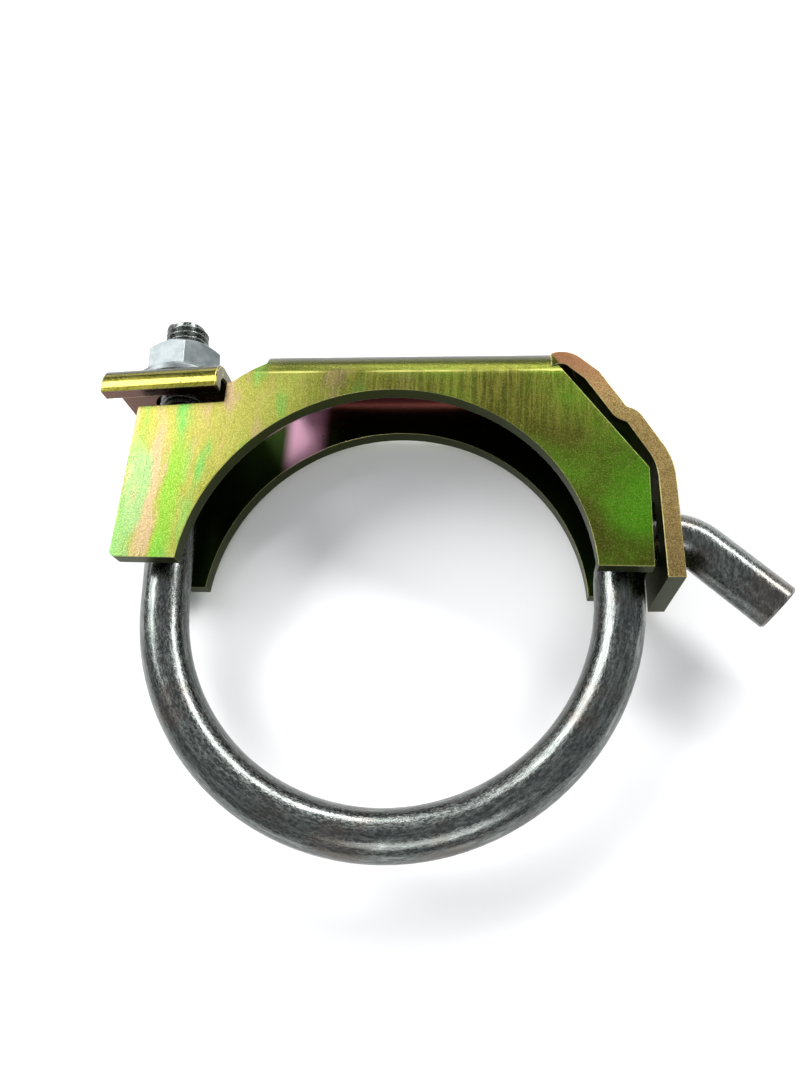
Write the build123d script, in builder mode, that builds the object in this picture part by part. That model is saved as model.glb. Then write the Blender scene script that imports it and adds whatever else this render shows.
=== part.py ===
from build123d import *
import os
from math import cos, radians, sin, tan

# Pipe clamp with a hooked U-bolt, in millimetres.
# Origin: centre of the clamped pipe, in the middle of the clamp's width.
# +Z runs along the pipe, +Y from the bottom of the U towards the saddle's web, +X towards the hook.

# Driving dimensions
pipe_radius = 50.0
rod_radius = 6.0
rod_gap = 0.1                  # between the pipe and the U-bolt's rod
sheet = 4.0                    # saddle sheet thickness
half_width = 13.5              # half of the saddle's width along Z
web_top = 64.4                 # outer face of the saddle's web

# U-bolt: leaning stud on the left, hook on the right
stud_lean = 4.84               # degrees, outward
stud_length = 83.6             # from the tangent point on the U to the tip
stud_chamfer = 0.6
hook_rise = 4.1                # straight leg between the U and the hook's bend
hook_radius = 12.0             # centre line of the hook's bend
hook_turn = 131.7              # degrees
hook_tail = 21.7
hook_chamfer = 0.5
thread_pitch = 1.75
thread_length = 40.1
crest_radius = 5.94
thread_depth = 1.05
thread_runout = 1.1            # plain core left at each end of the ridge
ridge_base = 1.5
ridge_crest = 0.22
ridge_sink = 0.2               # how far the ridge is sunk into the core, so that the two join

# Flange nut, M12
nut_across_flats = 19.0
nut_height = 12.0
nut_bore_radius = 6.02
nut_flange_radius = 13.0
nut_flange_rim = 1.6
nut_cone_top = 4.3             # height at which the flange's cone runs into the hexagon
nut_vertex_turn = 18.0         # degrees, from +Z towards +X
nut_corner_drop = 1.7          # how far the top chamfer cuts down at the hexagon's corners
nut_face_inset = 0.4           # between the hexagon's flats and the edge of its top face
nut_lift = 0.37                # the nut sits square on the stud, so only its rim meets the tilted clip
clip_level = 57.0              # height of the clip's top at the stud, along Y

# Bridge clip
clip_sheet = 3.5
clip_half_width = 17.3
clip_height = 8.7
clip_bend_radius = 6.0
clip_left = -76.3
clip_right = -45.4
clip_tilt = 3.4                # degrees, the same slope as the seats in the saddle
clip_hole_radius = 6.9

# Saddle outline
left_edge = -66.5
right_edge = 62.2
foot_level = 3.7
seat_left = 45.3
seat_right_x = -43.6
seat_wall_top = 52.4
web_left = -34.0
web_left_foot = 58.8           # where the slope from the seat's wall meets the web's left end
wall_land = 1.0                # flat on top of the seat's wall
web_right = 41.3
channel_bend_radius = 10.0
slope_top = 57.0               # where the sloping right shoulder meets the web's bend
slope_bottom = 28.4
corner_radius = 1.6
edge_break = 0.35

# Strap: the web carried on past the flanges and bent down
nose_start = 39.7
nose_corner_level = 58.4       # where the flange's edge leaves the nose for the sloping shoulder
strap_bend_radius = 10.0       # outer radius at the nose
strap_slope = 57.0             # degrees below horizontal
nose_droop = 4.2               # how far the nose's edges hang below its middle
strap_settle = 6.0             # length of slope over which the edges come up flat
strap_overlap = 0.3            # between the nose and the flat part, so that the two join
joggle_high = (56.3, 43.2)     # corners of the strap's centre line
joggle_low = (58.9, 42.2)
strap_knee = (66.05, 30.0)
strap_end_x = 66.95
strap_foot = 1.3
joggle_bend_radius = 3.0
knee_bend_radius = 16.0
slot_bottom = 8.7
slot_top = 23.6
slot_half_width = 6.75
slot_corner = 2.5

bolt_radius = pipe_radius + rod_gap + rod_radius


def direction(degrees):
    """Unit vector in the clamp's plane."""
    return Vector(cos(radians(degrees)), sin(radians(degrees)), 0)


stud_direction = direction(90 + stud_lean)
stud_root = direction(180 + stud_lean) * bolt_radius
stud_tip = stud_root + stud_direction * stud_length

# ---------------------------------------------------------------- u_bolt
thread_start = stud_tip - stud_direction * thread_length
thread_root_radius = crest_radius - thread_depth
ridge_start = thread_start + stud_direction * thread_runout
hook_centre = Vector(bolt_radius + hook_radius, hook_rise, 0)
hook_end_angle = 180 - hook_turn
tail_direction = direction(hook_end_angle - 90)
tail_start = hook_centre + direction(hook_end_angle) * hook_radius
tail_end = tail_start + tail_direction * hook_tail

with BuildPart() as u_bolt:
    with BuildLine() as rod_route:
        Line(thread_start, stud_root)
        CenterArc((0, 0), bolt_radius, 180 + stud_lean, 180 - stud_lean)
        Line((bolt_radius, 0), (bolt_radius, hook_rise))
        CenterArc(hook_centre, hook_radius, 180, -hook_turn)
        Line(tail_start, tail_end)
    with BuildSketch(Plane(origin=thread_start, z_dir=-stud_direction)):
        Circle(rod_radius)
    sweep(path=rod_route.line)
    tail_face = u_bolt.faces().filter_by(GeomType.PLANE).sort_by(Axis.X)[-1]
    chamfer(tail_face.edges(), hook_chamfer)
    # threaded end: a core, and a ridge wound round it
    with BuildSketch(Plane(origin=thread_start, z_dir=stud_direction)):
        Circle(thread_root_radius)
    extrude(amount=thread_length)
    tip_face = u_bolt.faces().filter_by(GeomType.PLANE).sort_by(Axis.Y)[-1]
    chamfer(tip_face.edges(), stud_chamfer)
    thread_helix = Helix(
        thread_pitch, thread_length - 2 * thread_runout, thread_root_radius,
        center=ridge_start, direction=stud_direction, mode=Mode.PRIVATE,
    )
    ridge_foot = thread_helix @ 0
    with BuildSketch(Plane(origin=ridge_foot, x_dir=ridge_foot - ridge_start, z_dir=thread_helix % 0)):
        with BuildLine():
            Polyline(
                (-ridge_sink, -ridge_base / 2), (-ridge_sink, ridge_base / 2),
                (thread_depth, ridge_crest / 2), (thread_depth, -ridge_crest / 2), close=True,
            )
        make_face()
    sweep(path=thread_helix, is_frenet=True)
u_bolt.part.label = "u_bolt"

# ---------------------------------------------------------------- bridge_clip
clip_point = stud_root + stud_direction * ((clip_level - stud_root.Y) / stud_direction.Y)
clip_along = direction(clip_tilt)
clip_start = clip_point + clip_along * ((clip_left - clip_point.X) / clip_along.X)
clip_length = (clip_right - clip_left) / clip_along.X
clip_section = Plane(origin=clip_start, x_dir=(0, 0, -1), z_dir=clip_along)

with BuildPart() as bridge_clip:
    with BuildSketch(clip_section) as clip_outside:
        with Locations((0, -clip_height / 2)):
            Rectangle(2 * clip_half_width, clip_height)
        fillet(clip_outside.vertices().group_by(Axis.Y)[-1], clip_bend_radius)
    extrude(amount=clip_length)
    with BuildSketch(clip_section) as clip_inside:
        with Locations((0, -clip_sheet - clip_height / 2)):
            Rectangle(2 * (clip_half_width - clip_sheet), clip_height)
        fillet(clip_inside.vertices().group_by(Axis.Y)[-1], clip_bend_radius - clip_sheet)
    extrude(amount=clip_length, mode=Mode.SUBTRACT)
    with BuildSketch(Plane(origin=clip_point, z_dir=stud_direction)):
        Circle(clip_hole_radius)
    extrude(amount=clip_height, both=True, mode=Mode.SUBTRACT)
    chamfer(bridge_clip.faces().sort_by(Axis.X)[0].edges(), edge_break)
    chamfer(bridge_clip.faces().sort_by(Axis.X)[-1].edges(), edge_break)
bridge_clip.part.label = "bridge_clip"

# ---------------------------------------------------------------- flange_nut
nut_seat = clip_point + stud_direction * nut_lift
vertex_direction = Vector(0, 0, 1).rotate(Axis((0, 0, 0), stud_direction), nut_vertex_turn)
nut_plane = Plane(origin=nut_seat, x_dir=vertex_direction, z_dir=stud_direction)
nut_profile = Plane(origin=nut_seat, x_dir=vertex_direction, z_dir=vertex_direction.cross(stud_direction))
nut_axis = Axis(nut_seat, stud_direction)
nut_flat_radius = nut_across_flats / 2
nut_corner_radius = nut_flat_radius / cos(radians(30))

with BuildPart() as flange_nut:
    with BuildSketch(nut_plane):
        RegularPolygon(nut_corner_radius, 6)
    extrude(amount=nut_height)
    # the chamfer that rounds the hexagon's top corners
    with BuildSketch(nut_profile):
        with BuildLine():
            Polyline(
                (0, 0), (nut_corner_radius, 0), (nut_corner_radius, nut_height - nut_corner_drop),
                (nut_flat_radius - nut_face_inset, nut_height), (0, nut_height), close=True,
            )
        make_face()
    revolve(axis=nut_axis, mode=Mode.INTERSECT)
    # flange: a rim, then a cone up to the hexagon
    with BuildSketch(nut_profile):
        with BuildLine():
            Polyline(
                (0, 0), (nut_flange_radius, 0), (nut_flange_radius, nut_flange_rim),
                (nut_flat_radius, nut_cone_top), (0, nut_cone_top), close=True,
            )
        make_face()
    revolve(axis=nut_axis)
    with BuildSketch(nut_plane):
        Circle(nut_bore_radius)
    extrude(amount=nut_height, mode=Mode.SUBTRACT)
flange_nut.part.label = "flange_nut"

# ---------------------------------------------------------------- saddle
# The strap's nose turns about this centre; its edges hang below its middle and come up flat down the slope
nose_centre = Vector(nose_start, web_top - strap_bend_radius, 0)
nose_end = nose_centre + direction(90 - strap_slope) * strap_bend_radius
flat_start = nose_end + direction(-strap_slope) * strap_settle
slope_start = nose_centre + direction(90 - strap_slope) * (strap_bend_radius - sheet / 2)
strap_flat_start = slope_start + direction(-strap_slope) * (strap_settle - strap_overlap)
strap_route = [strap_flat_start, joggle_high, joggle_low, strap_knee, (strap_end_x, strap_foot)]
strap_bends = [joggle_bend_radius, joggle_bend_radius, knee_bend_radius]

with BuildPart() as saddle:
    with BuildSketch(Plane.YZ.offset(left_edge)) as channel_outside:
        with Locations((web_top / 2, 0)):
            Rectangle(web_top, 2 * half_width)
        fillet(channel_outside.vertices().group_by(Axis.X)[-1], channel_bend_radius)
    extrude(amount=right_edge - left_edge)
    with BuildSketch(Plane.YZ.offset(left_edge)) as channel_inside:
        with Locations(((web_top - sheet) / 2, 0)):
            Rectangle(web_top - sheet, 2 * (half_width - sheet))
        fillet(channel_inside.vertices().group_by(Axis.X)[-1], channel_bend_radius - sheet)
    extrude(amount=right_edge - left_edge, mode=Mode.SUBTRACT)
    seat_right = seat_left + (seat_right_x - left_edge) * tan(radians(clip_tilt))
    with BuildSketch(Plane.XY) as outline:
        with BuildLine():
            Polyline(
                (left_edge, foot_level), (left_edge, seat_left), (seat_right_x, seat_right),
                (seat_right_x, seat_wall_top), (seat_right_x + wall_land, seat_wall_top),
                (web_left, web_left_foot), (web_left, web_top), (nose_start, web_top),
                (nose_start, nose_corner_level), (web_right, slope_top),
                (right_edge, slope_bottom), (right_edge, foot_level), close=True,
            )
        make_face()
        fillet(outline.vertices().group_by(Axis.Y)[0].sort_by(Axis.X)[0], corner_radius)
        Circle(pipe_radius, mode=Mode.SUBTRACT)
    extrude(amount=2 * half_width, both=True, mode=Mode.INTERSECT)
    # nose of the strap: the web's arch flattens as it turns down the slope
    under_droop = nose_droop + sheet
    with BuildLine(mode=Mode.PRIVATE) as nose_route:
        CenterArc(nose_centre, strap_bend_radius, 90, -strap_slope)
        Line(nose_end, flat_start)
    with BuildSketch(Plane(origin=(nose_start, web_top), x_dir=(0, 0, 1), z_dir=(1, 0, 0))):
        with BuildLine():
            nose_top = ThreePointArc((-half_width, nose_droop), (0, 0), (half_width, nose_droop))
            nose_under = ThreePointArc((-half_width, under_droop), (0, sheet), (half_width, under_droop))
            Line(nose_top @ 0, nose_under @ 0)
            Line(nose_top @ 1, nose_under @ 1)
        make_face()
    with BuildSketch(Plane(origin=flat_start, x_dir=(0, 0, 1), z_dir=direction(-strap_slope))):
        with Locations((0, sheet / 2)):
            Rectangle(2 * half_width, sheet)
    sweep(path=nose_route.line, multisection=True)
    # flat part of the strap, half of the sheet's thickness on each side of its centre line
    with BuildSketch(Plane.XY.offset(-half_width)):
        for side in (Side.LEFT, Side.RIGHT):
            with BuildLine():
                FilletPolyline(strap_route, radius=strap_bends)
                offset(amount=sheet / 2, side=side, closed=True)
            make_face()
    extrude(amount=2 * half_width)
    with BuildSketch(Plane.YZ.offset(right_edge)):
        with Locations(((slot_bottom + slot_top) / 2, 0)):
            RectangleRounded(slot_top - slot_bottom, 2 * slot_half_width, slot_corner)
    extrude(amount=3 * sheet, mode=Mode.SUBTRACT)
saddle.part.label = "saddle"

os.makedirs("parts", exist_ok=True)
for piece in (saddle, u_bolt, bridge_clip, flange_nut):
    export_step(piece.part, f"parts/{piece.part.label}.step")
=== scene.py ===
import bpy
from mathutils import Matrix, Vector


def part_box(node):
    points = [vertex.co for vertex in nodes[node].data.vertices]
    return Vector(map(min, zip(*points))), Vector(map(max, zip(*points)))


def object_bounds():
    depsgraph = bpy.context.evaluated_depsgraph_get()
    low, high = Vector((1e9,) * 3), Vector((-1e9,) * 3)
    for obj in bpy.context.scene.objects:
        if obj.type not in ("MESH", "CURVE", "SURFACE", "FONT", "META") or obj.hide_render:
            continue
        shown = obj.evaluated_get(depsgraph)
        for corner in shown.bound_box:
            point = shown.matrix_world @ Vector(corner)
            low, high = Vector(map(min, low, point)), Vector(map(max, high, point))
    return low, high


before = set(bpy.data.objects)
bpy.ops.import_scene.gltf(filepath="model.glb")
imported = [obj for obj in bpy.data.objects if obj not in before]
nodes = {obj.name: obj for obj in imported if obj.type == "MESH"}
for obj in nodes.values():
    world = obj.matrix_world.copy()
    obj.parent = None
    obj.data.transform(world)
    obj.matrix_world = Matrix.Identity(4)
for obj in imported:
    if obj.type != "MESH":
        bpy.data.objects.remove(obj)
cad_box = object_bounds()

# ---------------------------------------------------------------- places, in metres
saddle_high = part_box("saddle")[1]
web_top = saddle_high[1]
half_width = saddle_high[2]
floor_level = cad_box[0][2]
sheet = 0.004
slope_high = Vector((0.0413, 0.0570))      # top and foot of the saddle's sloping shoulder
slope_low = Vector((0.0622, 0.0284))
bend_depth = 0.0090                        # from the web's top to the flat of the flange
cut_face_top = 0.0550                      # the cut faces of arcs and feet are dark below this level
clip_stud = Vector((-0.0612, 0.0570))      # where the stud leaves the clip's top
clip_slope = 0.0594                        # rise of the clip's top along X
rod_radius = 0.056                         # of the U, at the middle of the rod


# ---------------------------------------------------------------- node helpers
class Graph:
    """A material's node tree, with short calls for the nodes that the materials share."""

    def __init__(self, name):
        self.material = bpy.data.materials.new(name)
        self.material.use_nodes = True
        self.tree = self.material.node_tree
        self.shader = self.tree.nodes["Principled BSDF"]
        self.position = self.add("ShaderNodeTexCoord").outputs["Object"]

    def add(self, kind, **settings):
        node = self.tree.nodes.new(kind)
        for key, value in settings.items():
            setattr(node, key, value)
        return node

    def plug(self, value, socket):
        if isinstance(value, bpy.types.NodeSocket):
            self.tree.links.new(value, socket)
        else:
            socket.default_value = value

    def math(self, operation, a, b=0.0):
        node = self.add("ShaderNodeMath", operation=operation)
        self.plug(a, node.inputs[0])
        self.plug(b, node.inputs[1])
        return node.outputs[0]

    def product(self, first, *others):
        for other in others:
            first = self.math("MULTIPLY", first, other)
        return first

    def total(self, first, *others):
        for other in others:
            first = self.math("ADD", first, other)
        return first

    def less(self, a, b):
        return self.math("SUBTRACT", a, b)

    def distance(self, a, b):
        return self.math("ABSOLUTE", self.less(a, b))

    def ramp(self, value, low, high):
        """0 below low and 1 above high, smooth between; low may be the larger."""
        node = self.add("ShaderNodeMapRange", interpolation_type="SMOOTHSTEP")
        self.plug(value, node.inputs["Value"])
        node.inputs["From Min"].default_value = low
        node.inputs["From Max"].default_value = high
        return node.outputs["Result"]

    def mix(self, factor, a, b):
        node = self.add("ShaderNodeMix", data_type="RGBA")
        self.plug(factor, node.inputs["Factor"])
        self.plug(a if isinstance(a, bpy.types.NodeSocket) else (*a, 1), node.inputs["A"])
        self.plug(b if isinstance(b, bpy.types.NodeSocket) else (*b, 1), node.inputs["B"])
        return node.outputs["Result"]

    def tint(self, film, color, *masks):
        """The film with a colour laid over it where all the masks are high."""
        return self.mix(self.product(*masks), film, color)

    def noise(self, scale, stretch=(1, 1, 1), detail=3.0, roughness=0.55, offset=(0, 0, 0)):
        mapping = self.add("ShaderNodeMapping")
        self.plug(self.position, mapping.inputs["Vector"])
        mapping.inputs["Scale"].default_value = stretch
        mapping.inputs["Location"].default_value = offset
        node = self.add("ShaderNodeTexNoise")
        self.plug(mapping.outputs["Vector"], node.inputs["Vector"])
        node.inputs["Scale"].default_value = scale
        node.inputs["Detail"].default_value = detail
        node.inputs["Roughness"].default_value = roughness
        return node.outputs["Fac"]

    def axes(self, vector):
        node = self.add("ShaderNodeSeparateXYZ")
        self.plug(vector, node.inputs[0])
        return node.outputs

    def facing(self):
        """The surface's own normal, before bumps and rounded edges."""
        return self.add("ShaderNodeNewGeometry").outputs["Normal"]

    def normal(self, edge_radius, *layers):
        """Rounded edges, then bumps: each layer is (height, strength, distance)."""
        rounded = self.add("ShaderNodeBevel", samples=4)
        rounded.inputs["Radius"].default_value = edge_radius
        result = rounded.outputs["Normal"]
        for height, strength, distance in layers:
            bump = self.add("ShaderNodeBump")
            bump.inputs["Strength"].default_value = strength
            bump.inputs["Distance"].default_value = distance
            self.plug(height, bump.inputs["Height"])
            self.plug(result, bump.inputs["Normal"])
            result = bump.outputs["Normal"]
        self.plug(result, self.shader.inputs["Normal"])
        return rounded.outputs["Normal"]

    def edges(self, rounded):
        """1 along sharp edges and 0 on flat and smoothly curved faces."""
        dot = self.add("ShaderNodeVectorMath", operation="DOT_PRODUCT")
        self.plug(rounded, dot.inputs[0])
        self.plug(self.facing(), dot.inputs[1])
        return self.ramp(dot.outputs["Value"], 0.99, 0.90)

    def finish(self, color, roughness, metallic=1.0):
        self.plug(color, self.shader.inputs["Base Color"])
        self.plug(roughness, self.shader.inputs["Roughness"])
        self.plug(metallic, self.shader.inputs["Metallic"])
        return self.material


# ---------------------------------------------------------------- the saddle's film, part by part
def stud_side_film(g, x, y, clouds, blotches, streaks):
    """Pastel film beside the stud: lime to gold, with mint, rose and straw drifting over it."""
    lime, gold = (0.15, 0.17, 0.022), (0.23, 0.215, 0.045)
    mint, rose, straw = (0.085, 0.25, 0.05), (0.28, 0.19, 0.11), (0.20, 0.19, 0.05)
    film = g.mix(g.ramp(clouds, 0.38, 0.62), lime, gold)
    film = g.tint(film, mint, g.ramp(blotches, 0.50, 0.66))
    film = g.tint(film, rose, g.ramp(blotches, 0.48, 0.34))
    film = g.tint(film, straw, g.ramp(streaks, 0.45, 0.70), 0.35)
    # three soft upright bands on the leg: middle in X, reach to each side, strength, colour
    bands = (
        (-0.0652, 0.0036, 0.75, (0.11, 0.26, 0.09)),
        (-0.0600, 0.0030, 0.65, (0.28, 0.20, 0.12)),
        (-0.0540, 0.0040, 0.70, (0.10, 0.28, 0.02)),
    )
    wander = 0.016
    drift = g.total(x, g.product(g.less(blotches, 0.5), wander))
    leg = g.ramp(y, 0.042, 0.028)
    for middle, reach, strength, color in bands:
        band = g.ramp(g.distance(drift, middle), reach, 0.3 * reach)
        film = g.tint(film, color, band, leg, strength)
    return film


def strap_side_film(g, x, y, clouds, streaks):
    """Olive film, brushed along the web and turning green low down beside the strap."""
    dark_olive, pale_olive, green = (0.085, 0.092, 0.012), (0.26, 0.25, 0.04), (0.08, 0.32, 0.010)
    brushed = g.product(g.ramp(streaks, 0.42, 0.64), g.ramp(y, 0.030, 0.050), 0.8)
    olive = g.mix(brushed, dark_olive, pale_olive)
    low = g.product(g.ramp(y, 0.052, 0.030), g.ramp(y, 0.004, 0.014))
    beside_strap = g.product(low, g.ramp(x, 0.048, 0.060))
    greenness = g.total(g.product(clouds, 0.9), g.product(beside_strap, 0.22))
    return g.tint(olive, green, g.ramp(greenness, 0.36, 0.74), 0.8)


def with_painted_light_on_web_bend(g, film, x, y, clouds, light_grains):
    """The bend along the web gets a painted dark reflection, olive near its foot and darker near the top,
    with a painted highlight line where it meets the flat flange.
    """
    painted_dark_reflection_olive, painted_dark_reflection, web_bend_painted_highlight = (0.045, 0.05, 0.005), (0.013, 0.015, 0.002), (0.55, 0.52, 0.16)
    bend_foot = web_top - bend_depth
    along_web = g.ramp(x, -0.040, -0.028)
    # painted dark reflection along the bend, flecked with lighter grains
    bend = g.product(g.ramp(y, bend_foot - 0.0002, bend_foot + 0.0010), along_web)
    film = g.tint(film, painted_dark_reflection_olive, bend, g.less(1.0, g.product(light_grains, 0.5)))
    # painted dark reflection, darkest near the web's top
    film = g.tint(film, painted_dark_reflection, g.ramp(y, web_top - 0.0052, web_top - 0.0030))
    # painted highlight: a thin bright line where the bend meets the flat flange
    line = g.ramp(g.distance(y, bend_foot), 0.0004, 0.0001)
    return g.tint(film, web_bend_painted_highlight, line, g.ramp(clouds, 0.40, 0.60), 0.8)


def with_strap_sides(g, film, x, y, upright, grain):
    """The strap's sheared sides are coppery at the nose and golden brown below."""
    brown, gold, copper = (0.24, 0.16, 0.055), (0.46, 0.33, 0.13), (0.30, 0.115, 0.07)
    slope = (slope_low - slope_high).normalized()
    past_slope = g.less(
        g.product(g.less(x, slope_high.x), -slope.y),
        g.product(g.less(slope_high.y, y), slope.x),
    )
    past_edge = g.ramp(x, slope_low.x, slope_low.x + 0.0004)
    strap = g.math("MAXIMUM", g.ramp(past_slope, 0.0002, 0.0008), past_edge)
    sheared = g.mix(g.ramp(grain, 0.40, 0.60), brown, gold)
    sheared = g.tint(sheared, copper, g.ramp(y, 0.044, 0.060), 0.7)
    return g.tint(film, sheared, strap, g.ramp(upright, 0.6, 0.9))


def with_painted_shade_inside_channel(g, film, x, y, z):
    """The inside of the channel is painted shade: dark green, reddish under the web, with one pale painted
    reflection.
    """
    # painted shade inside the channel, and a pale painted reflection
    painted_shade_green, painted_shade_red, painted_reflection_pink = (0.016, 0.030, 0.006), (0.05, 0.012, 0.012), (0.45, 0.25, 0.33)
    between_flanges = g.math("LESS_THAN", g.math("ABSOLUTE", z), half_width - 0.9 * sheet)
    under_web = g.product(between_flanges, g.ramp(g.less(web_top, y), 0.0030, 0.0036))
    # painted reflection: a pale pink spot on the inside
    painted_reflection_patch = g.product(g.ramp(x, -0.034, -0.030), g.ramp(x, -0.020, -0.024))
    painted_inner_shade = g.mix(g.ramp(y, 0.050, 0.060), painted_shade_green, painted_shade_red)
    painted_inner_shade = g.tint(painted_inner_shade, painted_reflection_pink, painted_reflection_patch, g.ramp(y, 0.036, 0.040))
    return g.tint(film, painted_inner_shade, under_web, g.ramp(x, 0.060, 0.058))


# ---------------------------------------------------------------- materials
def yellow_zinc():
    """Yellow-passivated sheet: a thin film whose colour drifts from mint through lime and gold to pink."""
    dark_grain, light_grain = (0.05, 0.055, 0.008), (0.50, 0.50, 0.14)
    cut_olive, worn_gold = (0.028, 0.038, 0.003), (0.62, 0.58, 0.25)
    g = Graph("yellow_zinc")
    x, y, z = g.axes(g.position)
    upright = g.math("ABSOLUTE", g.axes(g.facing())[2])
    clouds = g.noise(38, stretch=(1, 1, 0.4), detail=4.0, roughness=0.6, offset=(0.3, 0.1, 0))
    blotches = g.noise(62, stretch=(2.6, 0.62, 0.5), detail=3.0, roughness=0.5, offset=(0.7, 0.2, 0))
    speckle = g.noise(2200, detail=3.0)
    grain = g.noise(3600, detail=2.0, roughness=0.6, offset=(0.4, 0.4, 0.1))
    streaks = g.noise(90, stretch=(14, 0.7, 1), detail=5.0, roughness=0.75)
    light_grains = g.ramp(grain, 0.52, 0.64)

    strap_side = strap_side_film(g, x, y, clouds, streaks)
    stud_side = stud_side_film(g, x, y, clouds, blotches, streaks)
    film = g.mix(g.ramp(x, 0.020, -0.050), strap_side, stud_side)
    film = g.tint(film, dark_grain, g.ramp(grain, 0.48, 0.36), 0.30)
    film = g.tint(film, light_grain, light_grains, 0.25)
    # painted dark reflection on the web's bend, and a painted highlight line at its foot
    film = with_painted_light_on_web_bend(g, film, x, y, clouds, light_grains)
    below_cut_top = g.ramp(y, cut_face_top + 0.001, cut_face_top - 0.001)
    cut_face = g.product(g.ramp(upright, 0.5, 0.3), below_cut_top)
    film = g.tint(film, cut_olive, cut_face)
    film = with_strap_sides(g, film, x, y, upright, grain)
    # painted shade inside the channel, with one pale painted reflection
    film = with_painted_shade_inside_channel(g, film, x, y, z)

    rounded = g.normal(0.0003, (speckle, 0.14, 0.0003), (streaks, 0.06, 0.0004))
    film = g.tint(film, worn_gold, g.edges(rounded), g.less(0.8, g.product(cut_face, 0.5)))
    rough = g.total(g.product(clouds, 0.22), g.product(speckle, 0.16), g.product(cut_face, 0.12), 0.12)
    return g.finish(film, rough)


def clip_zinc():
    """The clip's film: dark gold, with a painted dark reflection on the upper bend, painted highlight
    lines along the bend, and a painted pinkish reflection beneath.
    """
    dark_gold, gold, pale_gold = (0.050, 0.048, 0.005), (0.085, 0.075, 0.012), (0.30, 0.28, 0.05)
    painted_dark_reflection, painted_reflection_pink_brown = (0.022, 0.024, 0.003), (0.12, 0.06, 0.045)
    painted_highlight_gold, worn_gold = (0.40, 0.36, 0.08), (0.70, 0.64, 0.26)
    g = Graph("clip_zinc")
    x, y = g.axes(g.position)[:2]
    facing = g.axes(g.facing())
    clouds = g.noise(70, detail=4.0, roughness=0.6, offset=(0.5, 0.4, 0.2))
    speckle = g.noise(1000, detail=2.0)
    streaks = g.noise(60, stretch=(0.6, 10, 10), detail=4.0, roughness=0.7)
    film = g.mix(g.ramp(clouds, 0.40, 0.60), dark_gold, gold)
    film = g.tint(film, pale_gold, g.ramp(streaks, 0.52, 0.66))
    # painted dark reflection on the upward-facing bend
    film = g.tint(film, painted_dark_reflection, g.ramp(facing[1], 0.10, 0.45))
    # painted reflection: pinkish brown on the downward faces
    film = g.tint(film, painted_reflection_pink_brown, g.ramp(facing[1], -0.2, -0.7))
    # painted highlight: two bright lines drawn along the front of the bend
    rise = g.product(g.less(x, clip_stud.x), clip_slope)
    depth = g.less(g.total(rise, clip_stud.y), y)
    upper_painted_highlight = g.product(g.ramp(depth, 0.0031, 0.0034), g.ramp(depth, 0.0043, 0.0040))
    lower_painted_highlight = g.product(g.ramp(depth, 0.0056, 0.0060), g.ramp(depth, 0.0076, 0.0072))
    film = g.tint(film, painted_highlight_gold, g.total(upper_painted_highlight, lower_painted_highlight), g.ramp(facing[2], 0.5, 0.7), 0.85)
    rounded = g.normal(0.0004, (speckle, 0.20, 0.0004), (clouds, 0.03, 0.0010))
    film = g.tint(film, worn_gold, g.edges(rounded), 0.7)
    return g.finish(film, g.total(g.product(clouds, 0.25), 0.16))


def follow_rod(g):
    """Lets the noises run along the rod: across it, along the U and its legs, and in height."""
    x, y, z = g.axes(g.position)
    below_legs = g.math("MINIMUM", y, -0.000001)
    around = g.product(g.math("ARCTAN2", below_legs, x), rod_radius)
    up_leg = g.product(g.math("SIGN", x), g.math("MAXIMUM", y, 0.0))
    across = g.math("SQRT", g.total(g.product(x, x), g.product(below_legs, below_legs)))
    place = g.add("ShaderNodeCombineXYZ")
    for value, socket in zip((across, g.total(around, up_leg), z), place.inputs):
        g.plug(value, socket)
    g.position = place.outputs[0]


def rod_zinc():
    """Dull grey plating: bright lines and dark grains along the rod, fine pits, brownish wear."""
    dark_grey, mid_grey, bright_grey = (0.080, 0.088, 0.084), (0.155, 0.167, 0.160), (0.34, 0.36, 0.34)
    dull_grey, brown, black = (0.070, 0.078, 0.074), (0.13, 0.10, 0.085), (0.03, 0.03, 0.03)
    edge_grey = (0.38, 0.38, 0.36)
    g = Graph("rod_zinc")
    follow_rod(g)
    lines = g.noise(1500, stretch=(1, 0.10, 1), detail=4.0, roughness=0.7, offset=(0.3, 0.1, 0.7))
    grains = g.noise(2600, stretch=(1, 0.35, 1), detail=3.0, roughness=0.7)
    pits = g.noise(2600, detail=3.0, roughness=0.7, offset=(0.1, 0.3, 0.2))
    mottle = g.noise(320, stretch=(1, 0.30, 1), detail=5.0, roughness=0.7)
    wear = g.noise(70, detail=4.0, offset=(0.2, 0.9, 0.4))
    film = g.mix(g.ramp(grains, 0.42, 0.60), dark_grey, mid_grey)
    film = g.tint(film, bright_grey, g.ramp(lines, 0.46, 0.64), 0.55)
    film = g.tint(film, dull_grey, g.ramp(mottle, 0.40, 0.62), 0.30)
    film = g.tint(film, brown, g.ramp(wear, 0.52, 0.66), 0.5)
    film = g.tint(film, black, g.ramp(pits, 0.66, 0.74))
    rounded = g.normal(0.0003, (pits, 0.08, 0.0003), (grains, 0.08, 0.0003))
    film = g.tint(film, edge_grey, g.edges(rounded), 0.4)
    rough = g.total(g.product(mottle, 0.10), g.product(g.ramp(grains, 0.40, 0.62), 0.14), 0.13)
    return g.finish(film, rough)


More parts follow.
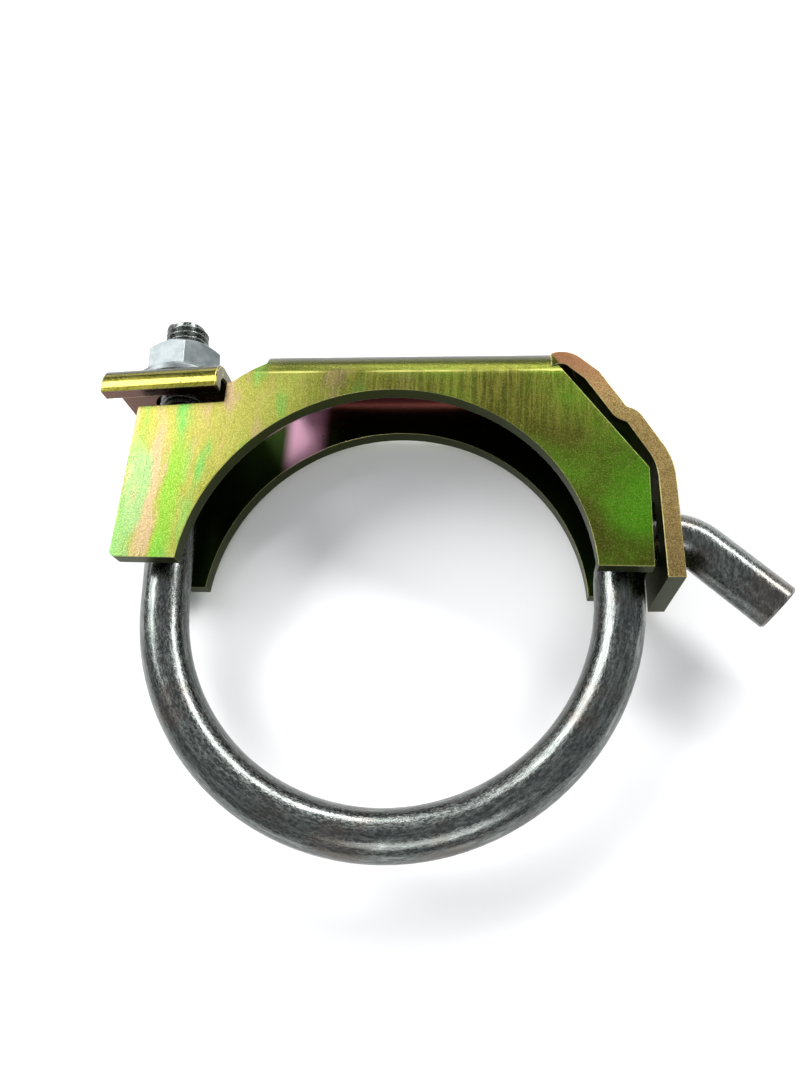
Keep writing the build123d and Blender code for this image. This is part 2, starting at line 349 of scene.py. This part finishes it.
def nut_zinc():
    """Bright plating with a blue cast."""
    dark_silver, silver, edge_silver = (0.105, 0.120, 0.122), (0.155, 0.172, 0.175), (0.88, 0.90, 0.90)
    g = Graph("nut_zinc")
    mottle = g.noise(300, detail=4.0, roughness=0.6)
    grain = g.noise(1600, detail=2.0)
    film = g.mix(g.ramp(mottle, 0.38, 0.64), dark_silver, silver)
    rounded = g.normal(0.0005, (grain, 0.10, 0.0003), (mottle, 0.06, 0.0005))
    film = g.tint(film, edge_silver, g.edges(rounded), 0.5)
    return g.finish(film, g.total(g.product(mottle, 0.25), 0.28))


def floor_white():
    """Matt, nearly white paper."""
    dim_white, white = (0.90, 0.90, 0.90), (0.93, 0.93, 0.93)
    g = Graph("floor_white")
    g.shader.inputs["Specular IOR Level"].default_value = 0.15
    return g.finish(g.mix(g.noise(9, detail=2.0), dim_white, white), roughness=0.9, metallic=0.0)


def paint(node, material):
    for place in nodes[node].material_slots:
        place.material = material


paint("saddle", yellow_zinc())
paint("bridge_clip", clip_zinc())
paint("u_bolt", rod_zinc())
paint("flange_nut", nut_zinc())


# ---------------------------------------------------------------- floor, light and camera
def floor(half):
    mesh = bpy.data.meshes.new("floor")
    around = [(-half, -half), (half, -half), (half, half), (-half, half)]
    corners = [(x, y, floor_level) for x, y in around]
    mesh.from_pydata(corners, [], [(0, 1, 2, 3)])
    mesh.materials.append(floor_white())
    piece = bpy.data.objects.new("floor", mesh)
    bpy.context.scene.collection.objects.link(piece)


def sky(color, strength):
    world = bpy.data.worlds.new("sky")
    world.use_nodes = True
    background = world.node_tree.nodes["Background"]
    background.inputs["Color"].default_value = (*color, 1)
    background.inputs["Strength"].default_value = strength
    bpy.context.scene.world = world


def area_light(name, place, size, power):
    """A rectangular lamp that points at the middle of the pipe."""
    lamp = bpy.data.lights.new(name, "AREA")
    lamp.shape = "RECTANGLE"
    lamp.size, lamp.size_y = size
    lamp.energy = power
    piece = bpy.data.objects.new(name, lamp)
    piece.location = place
    piece.rotation_euler = (-Vector(place)).to_track_quat("-Z", "Y").to_euler()
    bpy.context.scene.collection.objects.link(piece)


def camera(place, look, upward, focal_length):
    lens = bpy.data.cameras.new("camera")
    lens.sensor_width = 36
    lens.sensor_height = 36
    lens.lens = focal_length
    piece = bpy.data.objects.new("camera", lens)
    forward = Vector(look).normalized()
    right = forward.cross(Vector(upward)).normalized()
    turn = Matrix((right, right.cross(forward), -forward)).transposed()
    piece.matrix_world = Matrix.Translation(place) @ turn.to_4x4()
    bpy.context.scene.collection.objects.link(piece)
    bpy.context.scene.camera = piece


floor(half=2.0)
sky(color=(0.90, 0.93, 0.96), strength=0.45)
area_light("key", place=(-0.80, 0.55, 0.75), size=(0.80, 0.65), power=15)
area_light("strip", place=(0.32, 0.76, 0.52), size=(1.30, 0.12), power=13)
area_light("fill", place=(0.10, -0.70, 0.70), size=(0.60, 0.30), power=3)
camera(
    place=(0.0282, -0.0606, 0.1909),
    look=(-0.1179, 0.3609, -0.9251),
    upward=(-0.0155, 0.9308, 0.3652),
    focal_length=27.23,
)
bpy.context.scene.view_settings.view_transform = "Standard"
